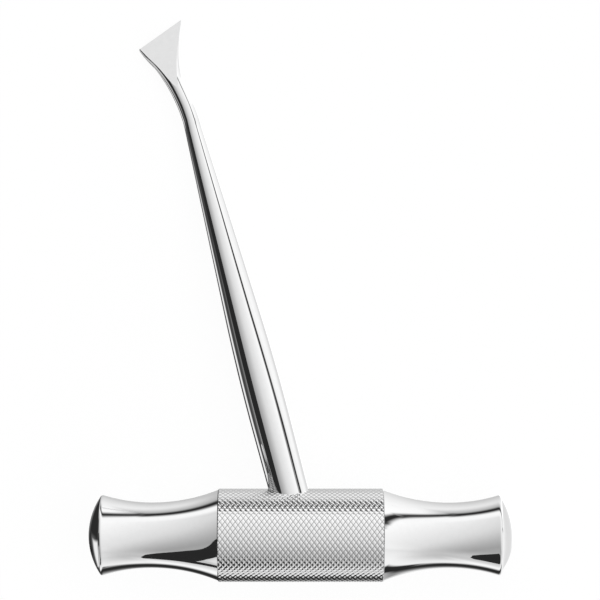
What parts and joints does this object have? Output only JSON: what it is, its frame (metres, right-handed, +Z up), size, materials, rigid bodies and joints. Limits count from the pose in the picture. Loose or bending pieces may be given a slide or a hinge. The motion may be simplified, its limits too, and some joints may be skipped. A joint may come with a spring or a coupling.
{
  "type": "cross-bar root elevator",
  "caption": "T-handled dental elevator: knurled cross bar with waisted grips, leaning tapered shank and a flat triangular blade.",
  "frame": {"origin": "middle of the object's outline at floor level, as it lies on its back", "axes": "+X along the cross bar, +Y from the cross bar towards the blade's edge, +Z up, away from the floor, on the side of the blade's flat face"},
  "size_m": [0.0908, 0.12, 0.02],
  "materials": {
    "handle_steel": "mirror-polished grips and domes, satin knurl on the barrel",
    "shank_steel": "mirror polished, flat blade face ground bright"
  },
  "bodies": {
    "root": {"cross_bar_handle": "handle_steel", "shank_with_blade": "shank_steel"}
  },
  "joints": []
}
